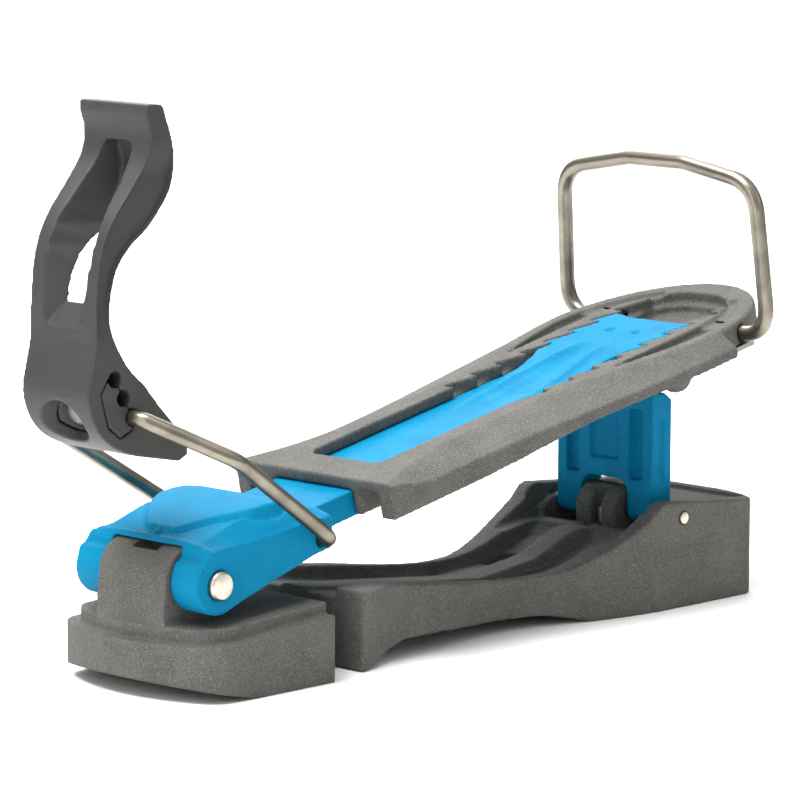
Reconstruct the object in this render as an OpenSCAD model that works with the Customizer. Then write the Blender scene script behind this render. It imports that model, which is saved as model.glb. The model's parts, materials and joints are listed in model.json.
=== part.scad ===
// Touring adapter binding with a boot-sole shaped base, lifting foot tray and folding heel riser.
// Origin on the sole plane straight below the toe pivot pin, +X toward the heel, +Z up, millimetres.

/* [Toe pivot] */
// Height of the toe pivot pin above the sole plane
pin_z = 34.7; // [34:0.1:35.5]
// Radius of the toe pivot pin
pin_r = 4.5; // [3.5:0.1:4.8]
// Radial clearance of a pin in its plastic bore
run_gap = 0.05; // [0.02:0.01:0.1]
// Radius of the barrel on the toe tower
barrel_r = 10.8; // [10:0.1:11]
// Half width of the toe tower
tower_half = 15; // [13:0.1:15]
// Half width over the two yoke ears
ear_half = 27.5; // [26:0.1:29]
// Radius of the rounded ear ends
ear_r = 9.2; // [8.8:0.1:9.6]

/* [Toe base] */
// Half width of the toe lug
toe_half = 35; // [34:0.1:36]
// Distance of the toe tip ahead of the pivot pin
toe_front = 18; // [17:0.1:20]
// Distance of the toe lug's rear face behind the pivot pin
toe_rear = 41.8; // [38:0.1:44]
// Lug thickness at the tip ledge
lug_h = 17.5; // [16.5:0.1:18]
// Rise of the rocker under the toe tip
rocker_rise = 6; // [2:0.1:7]

/* [Heel base] */
// Front face of the heel base
heel_x = 57.3; // [55:0.1:60]
// Rearmost point of the heel base
heel_rear = 253; // [250:0.5:256]
// Half width of the heel block
heel_half = 32.5; // [32:0.1:34.5]
// Height of the wing tips
wing_z = 36.2; // [35.5:0.1:37]
// Inner half width of the riser basin
basin_half = 22; // [21.8:0.1:23]

/* [Heel riser] */
// Position of the riser pin behind the toe pin
riser_x = 208; // [207:0.1:209]
// Height of the riser pin
riser_z = 30.3; // [30:0.1:30.6]
// Radius of the riser pin
riser_pin_r = 1.95; // [1.5:0.05:2.2]
// Height of the riser above its pin
riser_len = 40.7; // [40.3:0.1:40.7]
// Half width of the riser
riser_half = 21.3; // [20:0.1:21.4]

/* [Foot tray] */
// Front edge of the tray behind the toe pin
tray_x = 65.5; // [65:0.1:68]
// Height of the tray's front edge
tray_z = 58.7; // [58.5:0.1:59]
// Tilt of the tray with the riser up
tray_tilt = 11.9; // [11.8:0.1:12]
// Length of the tray
tray_len = 204.5; // [202:0.5:208]
// Half width of the tray skirt at the heel
skirt_half = 41.3; // [40:0.1:42]
// Half width of the long slot
slot_half = 15.5; // [15:0.1:15.6]
// Pitch of the length-setting teeth
tooth_pitch = 12.3; // [12.2:0.05:12.4]
// Number of teeth in each row
tooth_n = 8; // [7:1:8]
// Thickness of the tray's top
deck_t = 4.1; // [3.6:0.1:4.1]

/* [Rail] */
// Half width of the rail
rail_half = 17; // [16:0.1:17]
// Depth of the rail's top face below the tray's top
rail_top = 4.3; // [4.2:0.1:4.6]
// Depth of the rail's underside below the tray's top
rail_bottom = 12.8; // [12:0.1:12.9]

/* [Bails] */
// Radius of the toe bail wire
toe_wire_r = 2.45; // [2.2:0.05:2.5]
// Half width of the toe bail at its shoulders
toe_bail_half = 40; // [38:0.5:43]
// Radius of the heel bail wire
heel_wire_r = 2.65; // [2.4:0.05:2.8]
// Half width of the heel bail
heel_bail_half = 45; // [44.5:0.1:47]
// Height of the heel bail's crown above its pivot
heel_bail_rise = 57; // [50:0.5:62]

/* [Toe lever] */
// Half width of the lever
lever_half = 15; // [14:0.1:15.5]
// Spacing of the three wire holes
hole_pitch = 6.9; // [6.7:0.1:7.1]
// Radius of the clamp bolt's dimple
recess_r = 7.2; // [6.8:0.1:7.6]
// Radius of the clamp bolt's head
bolt_head_r = 4.2; // [3.6:0.1:4.6]

/* [Hidden] */
$fn = 64;
big = 400;
body_gap = 0.35;
bail_pivot = [43.6, 43.4];
wire_hole = [-23.7, 87.2];
grip_slot = 2.6;
hole_dir = [-0.5, 0.866];
heel_pivot = [172.9, -4.7];
first_far_tip = 83.4;
first_near_tip = 79.1;
tooth_in = 15.8;
tooth_out = 20.2;
fish_front = 131;
fish_rear = 166.5;
pad_gap = 0.1;
basin_len = 18.4;
grey_col = [0.46, 0.46, 0.44];
blue_col = [0.1, 0.62, 0.86];
lever_col = [0.33, 0.34, 0.33];
steel_col = [0.7, 0.68, 0.63];

function arc(c, r, a0, a1, n) =
    [for (i = [0:n]) c + r * [cos(a0 + (a1 - a0) * i / n), sin(a0 + (a1 - a0) * i / n)]];
function ease(t) = let(u = min(1, max(0, t))) u * u * (3 - 2 * u);
function mirror_y(pts) = [for (i = [len(pts) - 1:-1:0]) [pts[i][0], -pts[i][1]]];

// Points of an x-z outline pulled along y.
module xz_slab(pts, y0, y1) {
    translate([0, y1, 0])
        rotate([90, 0, 0])
            linear_extrude(y1 - y0)
                polygon(pts);
}

// Round bar along y through a point of the x-z plane.
module y_bar(x, z, r, half) {
    translate([x, half, z])
        rotate([90, 0, 0])
            cylinder(h = 2 * half, r = r);
}

// Skin over equal rings of points, closed at both ends.
module loft(rings) {
    n = len(rings);
    m = len(rings[0]);
    pts = [for (ring = rings) for (p = ring) p];
    sides = [for (i = [0:n - 2]) for (j = [0:m - 1]) for (k = [0, 1])
        let(a = i * m + j, b = i * m + (j + 1) % m)
        k == 0 ? [a, b, a + m] : [b, b + m, a + m]];
    polyhedron(points = pts, faces = concat([[for (j = [m - 1:-1:0]) j]], sides,
        [[for (j = [0:m - 1]) (n - 1) * m + j]]), convexity = 6);
}

// Countersunk screw with its head at the origin and its shank up z.
module csk_screw(r, len, head_r) {
    difference() {
        union() {
            cylinder(h = len, r = r);
            cylinder(h = head_r - r, r1 = head_r, r2 = r);
        }
        translate([0, 0, -1])
            cylinder(h = 1 + head_r * 0.45, r = r * 0.75, $fn = 6);
    }
}

// Frame of the tray: x along the tray, z square to its top.
module on_tray() {
    translate([tray_x, 0, tray_z])
        rotate([0, -tray_tilt, 0])
            children();
}

// ---- Toe base ----

function toe_outline(hw, front, fr, cr) =
    let(bx = fr - front, cx = bx - sqrt(pow(fr - cr, 2) - pow(hw - cr, 2)),
        al = atan2(hw - cr, bx - cx))
    concat(arc([cx, hw - cr], cr, 90, 180 - al, 8), arc([bx, 0], fr, 180 - al, 180 + al, 12),
        arc([cx, cr - hw], cr, 180 + al, 270, 8), [[toe_rear, -hw], [toe_rear, hw]]);

module toe_step(inset, z_front, z_rear) {
    intersection() {
        linear_extrude(40)
            polygon(toe_outline(toe_half - inset, toe_front - inset, 62, 11));
        xz_slab([[-toe_front - 1, rocker_rise], [8, 0], [toe_rear + 1, 0],
            [toe_rear + 1, z_rear], [0, z_front], [-toe_front - 1, z_front]], -big, big);
    }
}

module toe_tower() {
    y_bar(0, pin_z, barrel_r, tower_half);
    xz_slab([[-barrel_r, pin_z], [-barrel_r - 0.9, 27], [-barrel_r - 2, 18], [16, 18],
        [barrel_r, 27], [barrel_r, pin_z]], -tower_half, tower_half);
}

module toe_base() color(grey_col) {
    difference() {
        union() {
            toe_step(0, lug_h, 21.2);
            toe_step(4, lug_h + 4.6, 24.8);
            toe_tower();
        }
        y_bar(0, pin_z, pin_r + run_gap, 50);
        translate([-6, -6, pin_z + barrel_r - 3])
            cube([9, 11, 6]);
        translate([-4, -12.4, 7.6])
            cube([60, 24.8, 3.8]);
        translate([20, 0, -1])
            cylinder(h = 25, r = 2.6);
        translate([20, 0, -0.01])
            cylinder(h = 3.2, r1 = 5.3, r2 = 2.3);
        translate([20 - 3.6, -3.6, 11])
            cube([7.2, 7.2, 4.2]);
    }
}

module length_screw() color(steel_col)
    translate([20, 0, 0.2])
        csk_screw(2.2, 14, 4.6);

module length_nut() color(steel_col)
    translate([20, 0, 11.7])
        difference() {
            translate([-3.4, -3.4, 0])
                cube([6.8, 6.8, 3.2]);
            translate([0, 0, -1])
                cylinder(h = 6, r = 2.2);
        }

module base_strap() color(steel_col)
    difference() {
        translate([-3.6, -12, 8])
            cube([99.6, 24, 3]);
        translate([-0.7, -2.8, 7])
            cube([31.7, 5.6, 5]);
        for (y = [-6.5, 6.5])
            translate([84, y, 7])
                cylinder(h = 5, r = 1.6);
    }

module strap_screws() color(steel_col)
    for (y = [-6.5, 6.5])
        translate([84, y, 5.2])
            csk_screw(1.6, 9, 3.1);

// ---- Heel base ----

function heel_half_at(x) = x < 126
    ? 31.6 - 5.6 * ease((x - heel_x) / 20) - 4.4 * ease((x - 96) / 30)
    : 21.6 + (heel_half - 21.6) * ease((x - 132) / 68);
function heel_edge() = concat([for (x = [heel_x:8:heel_x + 184]) [x, heel_half_at(x)]],
    [for (a = [80:-16:0]) [heel_rear - 12 + 12 * cos(a), heel_half * sin(a)]]);

module heel_profile() {
    xz_slab(concat([[heel_x, 0], [heel_x + 3, 0.4], [70, 3], [82, 6.2], [100, 6.2], [120, 4.9],
        [143, 4.3], [151, 3.7], [160, 1.9], [168, 0], [heel_rear - 8.5, 0], [heel_rear - 6.2, 1.6],
        [heel_rear - 4.8, 5],
        [heel_rear - 1.4, 20], [heel_rear, 29], [heel_rear - 0.6, 32.4], [242, 32.8], [199.5, wing_z],
        [197, wing_z - 0.8]],
        [for (x = [192:-8:heel_x + 4]) [x, x > 150
            ? 17.4 + 14.2 * pow((x - 150) / 43, 1.7) : 25.4 - 8 * ease((x - heel_x) / 90)]],
        [[heel_x, 25.6]]), -big, big);
}

module heel_base() color(grey_col) {
    edge = heel_edge();
    difference() {
        union() {
            difference() {
                intersection() {
                    linear_extrude(50)
                        polygon(concat(edge, mirror_y(edge)));
                    heel_profile();
                }
                // channel along the waist, beside the spine
                for (k = [-1, 1])
                    xz_slab([[heel_x - 1, 22.6], [80, 19.6], [140, 13.2], [166, 14.6], [186, 20.6],
                        [192, 24], [192, 60], [heel_x - 1, 60]], min(k * 5, k * 19), max(k * 5, k * 19));
                xz_slab([[heel_x - 1, 24], [80, 21], [140, 15.4], [166, 18.4], [186, 24.6],
                    [192, 25.4], [192, 60], [heel_x - 1, 60]], -5.5, 5.5);
                // saddle between the wings
                xz_slab([[176, 23], [188, 25], [198.4, 25.6], [198.4, 60], [176, 60]], -25, 25);
                // basin the riser folds into
                translate([198, -basin_half, 23.4])
                    cube([basin_len, 2 * basin_half, 40]);
                xz_slab([[194, 27], [204, 31.6], [247.5, 31], [247.5, 60], [194, 60]], -26.5, 26.5);
                // finger pockets beside the spine
                for (k = [-1, 1])
                    xz_slab([[162, 11.6], [173, 13.4], [173, 40], [162, 40]],
                        k > 0 ? 10.4 : -17.2, k > 0 ? 17.2 : -10.4);
            }
            knuckle();
        }
        y_bar(riser_x, riser_z, riser_pin_r + run_gap, 50);
        translate([heel_x - 1, -12.1, 7.9])
            cube([40, 24.2, 3.2]);
        for (y = [-6.5, 6.5]) {
            translate([84, y, 0])
                cylinder(h = 15, r = 1.65);
            translate([84, y, -1])
                cylinder(h = 6.3, r = 3.3);
            translate([84, y, 5.1])
                cylinder(h = 1.6, r1 = 3.3, r2 = 1.65);
        }
        // hollow for the riser spring
        translate([riser_x - 14, -2.3, 24.4])
            cube([11.4, 4.6, 20]);
    }
}

module knuckle() {
    y_bar(riser_x, riser_z, 8.2, 8.8);
    xz_slab([[riser_x - 8.2, 20], [riser_x - 8.2, riser_z], [riser_x + 6, riser_z], [riser_x + 6, 20]],
        -8.8, 8.8);
}

module riser_pin() color(steel_col)
    y_bar(riser_x, riser_z, riser_pin_r, heel_half + 0.4);

module riser_spring() color(steel_col) {
    translate([riser_x - 5, -1.9, 24.4])
        cube([0.9, 3.8, 6.4]);
    translate([riser_x - 9.2, -1.9, 24.4])
        cube([4.4, 3.8, 0.9]);
}

module heel_riser() color(blue_col) {
    difference() {
        union() {
            xz_slab(concat([[riser_x - 3.6, riser_z], [riser_x - 3.6, riser_z + riser_len - 1.2]],
                arc([riser_x, riser_z], riser_len, 94.5, 86, 4),
                [[riser_x + 6.4, riser_z + 38], [riser_x + 6.4, riser_z]]), -riser_half, riser_half);
            y_bar(riser_x, riser_z, 3.6, riser_half);
            xz_slab([[riser_x, riser_z - 3.6], [riser_x + 5, riser_z - 3.6], [riser_x + 6.4, riser_z - 2],
                [riser_x + 6.4, riser_z + 1], [riser_x, riser_z + 1]], -riser_half, riser_half);
        }
        y_bar(riser_x, riser_z, riser_pin_r + run_gap, 50);
        // arch round the knuckle
        translate([riser_x - 20, 0, riser_z])
            rotate([90, 0, 90])
                linear_extrude(40)
                    polygon(concat([[-10.4, -12], [10.4, -12]], arc([5.4, 5.6], 5, 0, 90, 8),
                        arc([-5.4, 5.6], 5, 90, 180, 8)));
        // recesses of the front face
        for (k = [-1, 1])
            translate([riser_x - 5, k * 14 - 3, riser_z + 11])
                cube([3.6, 6, 24]);
        translate([riser_x - 5, -6.5, riser_z + 17])
            cube([2.6, 13, 18]);
        // groove of each side face
        for (k = [-1, 1])
            translate([riser_x + 0.4, k * riser_half - 0.9, riser_z + 10])
                cube([2.2, 1.8, 22]);
    }
}

// ---- Yoke with its rail ----

module toe_pin() color(steel_col)
    translate([0, 0, pin_z])
        rotate([90, 0, 0]) {
            cylinder(h = 2 * ear_half + 1.6, r = pin_r, center = true);
            for (k = [-1, 1])
                translate([0, 0, k * (ear_half + 1.2)])
                    cylinder(h = 0.8, r1 = k > 0 ? pin_r : pin_r - 0.6,
                        r2 = k > 0 ? pin_r - 0.6 : pin_r, center = true);
        }

function crown_top(x) = x < 30 ? 47.6 + 9.2 * sin(90 * (x + 3.5) / 33.5)
    : 56.8 - 4.3 * ease((x - 30) / 16);
function crown_ring(x, zs, drop) = let(zt = max(crown_top(x), zs + 0.2) - drop, ze = zs - drop)
    [[x, -ear_half, 41.8], [x, -ear_half, ze - 0.8], [x, -ear_half + 1.2, ze], [x, -21, zt - 0.7],
    [x, -14, zt], [x, 14, zt], [x, 21, zt - 0.7], [x, ear_half - 1.2, ze], [x, ear_half, ze - 0.8],
    [x, ear_half, 41.8]];
function ear_top(x) = x < 8 ? 45.8 + 1.7 * sin(90 * (x + 5) / 13) : 47.5 + 4.8 * pow((x - 8) / 37.5, 1.3);

module yoke_body() {
    loft(concat([crown_ring(-4.8, ear_top(-4.8), 2.6), crown_ring(-3.4, ear_top(-3.4), 0.8)],
        [for (x = [-1.6:5.4:46]) crown_ring(x, ear_top(x), 0)],
        [crown_ring(48.2, 50.4, 0)]));
    xz_slab([[11, 30], [25, 33.7], [40, 38.6], [48.2, 40.4], [48.2, 47], [11, 47]],
        -tower_half - 0.5, tower_half + 0.5);
    for (k = [-1, 1]) {
        y0 = k > 0 ? tower_half + 0.4 : -ear_half;
        y1 = k > 0 ? ear_half : -tower_half - 0.4;
        xz_slab([[3.4, pin_z - 8.5], [12, 29.4], [25, 33.7], [40, 38.6], [48.2, 40.4], [48.2, 46],
            [10, 45], [-4.8, 42.4], [-7.6, 41.2], [-9, 36], [0, pin_z]], y0, y1);
        translate([0, y1, pin_z])
            rotate([90, 0, 0])
                cylinder(h = y1 - y0, r = ear_r);
    }
}

function far_tooth(i, g) = let(s = first_far_tip + tooth_pitch * i)
    [[s + g, tooth_in - g], [s - 1 + g, tooth_out - g], [s + 5.8, tooth_in + 1.9 - g]];
function near_tooth(i, g) = let(s = first_near_tip + tooth_pitch * i)
    [[s - g, -tooth_in + g], [s + 6.4, -tooth_in - 1.9 + g], [s + tooth_pitch + 1 - g, -tooth_out + g]];

module rail() {
    on_tray() {
        xz_slab([[-24, -rail_bottom], [fish_rear, -rail_bottom], [fish_rear, -rail_top],
            [-24, -rail_top]], -rail_half, rail_half);
        intersection() {
            translate([0, 0, 0.1 - deck_t])
                linear_extrude(20)
                    polygon(fish_outline());
            xz_slab([[97, -9], [fish_rear + 2, -9], [fish_rear + 2, -0.3], [133, -0.3], [124, -1],
                [112, -2.6], [97, -3.9]], -30, 30);
        }
        xz_slab([[97, -9], [fish_rear - 3, -9], [fish_rear - 3, -1], [133, -1], [124, -1.7],
            [112, -3.3], [97, -4.2]], -13, 13);
    }
}

function fish_outline() = concat(
    [[92, 13.8], [112, 13.8], [122, 15.2]],
    [for (i = [3:6]) for (p = far_tooth(i, body_gap)) if (p[0] > fish_front - 7 && p[0] < fish_rear - 1) p],
    [[fish_rear, 16], [fish_rear - 2.2, 7], [fish_rear - 2.2, -7], [fish_rear - 1.8, -15.4],
        [fish_rear - 1, -19.2]],
    [for (i = [6:-1:4]) for (j = [2:-1:0]) let(p = near_tooth(i, body_gap)[j])
        if (p[0] > fish_front - 7 && p[0] < fish_rear - 1) p],
    [[122, -15.2], [112, -13.8], [92, -13.8]]);

module toe_yoke() color(blue_col) {
    difference() {
        union() {
            yoke_body();
            rail();
        }
        y_bar(0, pin_z, barrel_r + 0.7, tower_half + 0.4);
        translate([-20, -tower_half - 0.4, pin_z - 12])
            cube([20 + barrel_r + 0.9, 2 * tower_half + 0.8, 12]);
        y_bar(0, pin_z, pin_r + run_gap, 50);
        y_bar(bail_pivot[0], bail_pivot[1], toe_wire_r + run_gap, 50);
    }
}

// ---- Foot tray ----

function deck_half(s) = s < 156
    ? 22.6 + 11.2 * pow(max(0, 1 - s / 45), 2) + 11.8 * ease((s - 85) / 71)
    : 34.4 * sqrt(max(0.0004, 1 - pow((s - 156) / (tray_len - 155.9), 2)));
function side_half(s) = s < 161.2 ? 35 + (skirt_half - 35) * ease((s - 45) / 95)
    : deck_half(s) + 0.9;
function side_drop(s) = s < 161.2 ? 0.5 + 4.5 * ease(s / 18) : 1.2;
function skirt_depth(s) = 12 - 3.4 * ease((s - 40) / 65);
function tray_ring(s) = let(t = deck_half(s) - (s < 1 ? 0.4 : 0), h = side_half(s),
    c = side_drop(s), d = skirt_depth(s))
    [[s, -h, -d], [s, -h, -c], [s, -t, 0], [s, t, 0], [s, h, -c], [s, h, -d]];

module tray_shell() {
    loft([for (s = [0, 6, 12, 20, 32, 45, 60, 76, 90, 103, 116, 130, 144, 156, 161,
        161.3, 166, 172, 178, 184, 189, 193, 196.5, 199.5, 202, 203.7, tray_len]) tray_ring(s)]);
}

function slot_outline() = concat(
    arc([18.5, 11.5], 4, 180, 90, 5),
    [[first_far_tip - 0.5, slot_half]],
    [for (i = [0:tooth_n - 1]) for (p = far_tooth(i, 0)) p],
    [[first_far_tip + tooth_pitch * tooth_n, tooth_in], [186, 17], [191, 12], [194, 6],
        [194, -6], [191, -12], [186, -17],
        [first_near_tip + tooth_pitch * tooth_n, -tooth_in]],
    [for (i = [tooth_n - 1:-1:0]) for (j = [2:-1:0]) near_tooth(i, 0)[j]],
    [[first_near_tip - 0.5, -slot_half]],
    arc([18.5, -11.5], 4, 270, 180, 5));

module tray_pockets() {
    // long slot with its teeth, and the rear well
    translate([0, 0, -deck_t - 0.1])
        linear_extrude(20)
            polygon(slot_outline());
    translate([0, 0, -7.2])
        linear_extrude(20)
            polygon([[fish_rear + 0.5, 15.6], [184, 15.6], [189, 11], [191.5, 5], [191.5, -5],
                [189, -11], [184, -15.6], [fish_rear + 0.5, -15.6]]);
    // channel the rail lies in
    xz_slab([[-5, -40], [fish_rear + 0.5, -40], [fish_rear + 0.5, -deck_t], [-5, -deck_t]],
        -rail_half - 0.4, rail_half + 0.4);
    // hollows beside the channel
    for (k = [-1, 1]) {
        translate([0, 0, -40])
            linear_extrude(40 - deck_t)
                polygon([[-1, k * 20.8], [-1, k * 28.6], [14, k * 29.6], [46, k * 30.4],
                    [96, k * 33.6], [150, k * 36.4], [157, k * 36], [157, k * 20.8]]);
        // groove between the rim and the toothed wall
        translate([0, 0, -3.2])
            linear_extrude(20)
                polygon([[112, k * 23.2], [124, k * 23.4], [150, k * 23.8], [164, k * 23.6],
                    [164, k * 30.2], [150, k * 30.4], [136, k * 28], [122, k * 24.9]]);
        translate([0, 0, -1.4])
            linear_extrude(20)
                polygon([[163, k * 23.6], [174, k * 21.6], [184, k * 17.6], [190, k * 13.4],
                    [192, k * 16.4], [184, k * 22.6], [174, k * 27.6], [163, k * 30.2]]);
    }
}

module tray() color(grey_col) {
    difference() {
        union() {
            on_tray()
                difference() {
                    tray_shell();
                    tray_pockets();
                }
            // pad that rests on the riser
            intersection() {
                xz_slab([[203, riser_z + riser_len + pad_gap], [219, riser_z + riser_len + pad_gap],
                    [222, 73], [225.5, 79], [225.5, 90], [203, 90]], -20, 20);
                on_tray()
                    translate([100, -50, -40])
                        cube([100, 100, 40 - rail_bottom - 0.3]);
            }
            on_tray()
                for (k = [-1, 1]) {
                    // walls joining the pad to the deck, and bosses of the screws
                    translate([134, k > 0 ? rail_half + 0.4 : -rail_half - 3.4, -14])
                        cube([22, 3, 9.6]);
                    for (s = [34, 70])
                        translate([s, k * 21.6, -rail_bottom - 0.2])
                            cylinder(h = 11, r = 3.4);
                    // small foot under each skirt
                    xz_slab([[128, -6], [138, -6], [136.5, -10], [134, -11.4], [129.5, -11.4], [128, -9]],
                        k > 0 ? 36.4 : -40.6, k > 0 ? 40.6 : -36.4);
                }
        }
        on_tray() {
            for (k = [-1, 1])
                translate([heel_pivot[0], k * 38.6, heel_pivot[1]])
                    rotate([90, 0, 0])
                        cylinder(h = 40, r = heel_wire_r + run_gap, center = true);
            // bail keeper seat
            translate([heel_pivot[0] - 4.8, -50, -30])
                cube([9.6, 100, 30 - 8.2]);
            for (k = [-1, 1]) {
                translate([heel_pivot[0], k * 11, -12])
                    cylinder(h = 9, r = 1.3);
                for (s = [34, 70])
                    translate([s, k * 21.6, -20])
                        cylinder(h = 16.6, r = 1.3);
            }
        }
    }
}

module rail_cover() color(steel_col)
    on_tray()
        difference() {
            translate([28, -26, -rail_bottom - 1.8])
                cube([48, 52, 1.5]);
            for (s = [34, 70])
                for (k = [-1, 1])
                    translate([s, k * 21.6, -rail_bottom - 1.9])
                        cylinder(h = 1.7, r1 = 2.9, r2 = 1.35);
        }

module cover_screws() color(steel_col)
    on_tray()
        for (s = [34, 70])
            for (k = [-1, 1])
                translate([s, k * 21.6, -rail_bottom - 1.8])
                    csk_screw(1.3, 7.5, 2.7);

// Plate under the bail's two ends.
module bail_keeper() color(steel_col)
    on_tray()
        difference() {
            translate([heel_pivot[0] - 4.5, -34.5, -9.9])
                cube([9, 69, 1.6]);
            for (k = [-1, 1])
                translate([heel_pivot[0], k * 11, -10])
                    cylinder(h = 1.8, r1 = 3, r2 = 1.35);
        }

module keeper_screws() color(steel_col)
    on_tray()
        for (k = [-1, 1])
            translate([heel_pivot[0], k * 11, -9.9])
                csk_screw(1.3, 5.6, 2.7);

// ---- Bails ----

// Path in a plane, given as [up, across] points, with each inner corner rounded by radius b.
function round_path(p, b) = [for (i = [0:len(p) - 1])
    if (i == 0 || i == len(p) - 1) p[i]
    else each let(u = p[i - 1] - p[i], v = p[i + 1] - p[i], c = (u * v) / norm(u) / norm(v),
        t = min(b / tan(acos(c) / 2), norm(u) * 0.45, norm(v) * 0.45),
        q0 = p[i] + u / norm(u) * t, q1 = p[i] + v / norm(v) * t)
        [for (k = [0:6]) let(w = k / 6) q0 * (1 - w) * (1 - w) + p[i] * 2 * w * (1 - w) + q1 * w * w]];

// Bent wire: path points are [up, across], up runs along dir in the x-z plane from origin o.
module wire(path, r, o, dir) {
    n = len(path);
    side = [dir[2], 0, -dir[0]];
    loft([for (i = [0:n - 1])
        let(t = path[min(i + 1, n - 1)] - path[max(i - 1, 0)], m = [-t[1], t[0]] / norm(t))
        [for (k = [0:13]) let(a = 360 * k / 14)
            o + dir * (path[i][0] + r * cos(a) * m[0]) + [0, path[i][1] + r * cos(a) * m[1], 0]
                + side * r * sin(a)]]);
}

module heel_bail() color(steel_col) {
    w = heel_bail_half;
    h = heel_bail_rise;
    lean = tray_tilt - 5.5;
    path = [[0, 31.6], [0, w], [h - 5.5, w - 2.5], [h, 12], [h, -12], [h - 5.5, 2.5 - w], [0, -w],
        [0, -31.6]];
    pivot = bail_axis();
    for (k = [-1, 1])
        translate([pivot[0], k * 25.6, pivot[2]])
            rotate([90, 0, 0])
                cylinder(h = 12.8, r = heel_wire_r, center = true);
    wire(round_path(path, 13), heel_wire_r - 0.03, pivot, [-sin(lean), 0, cos(lean)]);
}

function bail_axis() = [tray_x + heel_pivot[0] * cos(tray_tilt) - heel_pivot[1] * sin(tray_tilt), 0,
    tray_z + heel_pivot[0] * sin(tray_tilt) + heel_pivot[1] * cos(tray_tilt)];

module toe_bail() color(steel_col) {
    run = [wire_hole[0] - bail_pivot[0], 0, wire_hole[1] - bail_pivot[1]];
    len = norm(run);
    s = toe_bail_half;
    path = [[0, 29.2], [0, 32.6], [len * 0.72, s], [len, lever_half + 3.5], [len, lever_half]];
    other = [for (i = [len(path) - 1:-1:0]) [path[i][0], -path[i][1]]];
    pivot = [bail_pivot[0], 0, bail_pivot[1]];
    wire(round_path(path, 7), toe_wire_r - 0.03, pivot, run / len);
    wire(round_path(other, 7), toe_wire_r - 0.03, pivot, run / len);
    y_bar(wire_hole[0], wire_hole[1], toe_wire_r, lever_half + 0.6);
    for (k = [-1, 1])
        translate([bail_pivot[0], k * 23, bail_pivot[1]])
            rotate([90, 0, 0])
                cylinder(h = 13, r = toe_wire_r, center = true);
}

// ---- Toe lever ----

// Curve through all points but the two ends.
function through(p, n) = [for (i = [1:len(p) - 3]) for (k = [0:n - 1]) let(t = k / n)
    0.5 * (2 * p[i] + (p[i + 1] - p[i - 1]) * t
        + (2 * p[i - 1] - 5 * p[i] + 4 * p[i + 1] - p[i + 2]) * t * t
        + (3 * p[i] - p[i - 1] - 3 * p[i + 1] + p[i + 2]) * t * t * t)];
function lever_side() = concat(
    [[-17.4, 179.6], [-16.6, 180], [-11.6, 179.7], [-10.6, 178.8]],
    through([[-11, 180], [-9.4, 175.5], [-6.4, 165.5], [-7.9, 154.5], [-16.3, 144], [-24, 138.2],
        [-29.8, 131], [-32.3, 120.1], [-31.1, 112], [-25.2, 102.3], [-18.6, 96.3], [-12.8, 89.7]], 4),
    [[-18.6, 96.3], [-12.8, 89.7], [-4.4, 80.8], [-1, 75.2], [-1.2, 73.4], [-4.7, 71.8], [-21, 75]],
    through([[-10, 73], [-21, 75], [-31.6, 79.1], [-38, 85.2], [-41, 94], [-39.6, 102],
        [-37.8, 110], [-37.4, 121], [-35.7, 135], [-31, 145.8], [-22.6, 156], [-17.2, 163.5],
        [-15.6, 171], [-17.9, 178.6], [-18, 186]], 4));
// Side view of the grip's hollow: a through slot between a sloping ledge and a back wall.
function hollow_side() = [[-60, 113.5], [-37.5, 113.5], [-28.6, 127.5], [10, 127.5], [10, 148],
    [-14.6, 149.4], [-11.4, 154.7], [-10, 161.2], [-11.6, 168.5], [-60, 168.5]];
// Plan of the hollow at one height, narrowing from the front of the grip to the slot at its back.
function hollow_ring(z, front, back, half) = [[front - 3, half + 1.6, z],
    [back + 1, grip_slot - 0.4, z], [back + 1, 0.4 - grip_slot, z], [front - 3, -half - 1.6, z]];
function clamp_side(g) = [[-36 - g, 95 + g], [-32.6, 100.2 + g], [-30.8 + g, 99.2 + g],
    [-23.7 + g, 87.2], [-23.7 + g, 83.6 - g], [-28.4, 81.4 - g], [-33 - g, 85 - g]];

module wire_holes(r)
    for (i = [0:2])
        y_bar(wire_hole[0] + hole_dir[0] * hole_pitch * i, wire_hole[1] + hole_dir[1] * hole_pitch * i,
            r, 50);

// Frame of the clamp bolt: z along the bolt.
module on_bolt()
    translate([-31.5, 0, 88])
        rotate([0, 60, 0])
            children();

module toe_lever() color(lever_col) {
    difference() {
        xz_slab(lever_side(), -lever_half, lever_half);
        intersection() {
            loft([hollow_ring(113.4, -37.8, -32, 8.6), hollow_ring(122, -37.4, -32.2, 11),
                hollow_ring(131, -36.2, -29.8, 10.8), hollow_ring(138, -34.6, -24, 10.4),
                hollow_ring(144, -31.8, -16.3, 9.6), hollow_ring(150, -28, -11.5, 8.6),
                hollow_ring(156, -22.6, -8, 7.9), hollow_ring(166, -16.6, -8, 6.8),
                hollow_ring(168.6, -16, -8, 5)]);
            xz_slab(hollow_side(), -20, 20);
        }
        xz_slab(hollow_side(), -grip_slot, grip_slot);
        xz_slab(clamp_side(0.3), -big, big);
        wire_holes(toe_wire_r + run_gap);
        on_bolt() {
            translate([0, 0, -13])
                cylinder(h = 12.8, r1 = recess_r + 6.4, r2 = bolt_head_r + 0.6);
            cylinder(h = 17, r = 2.4);
            translate([-3.8, -3.8, 9.6])
                cube([20, 7.6, 3.8]);
        }
    }
}

module lever_clamp() color(lever_col) {
    difference() {
        xz_slab(clamp_side(0), -lever_half, lever_half);
        wire_holes(toe_wire_r + run_gap);
        on_bolt() {
            translate([0, 0, -13])
                cylinder(h = 13, r1 = recess_r + 6.4, r2 = bolt_head_r + 0.6);
            cylinder(h = 17, r = 2.4);
        }
    }
}

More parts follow.
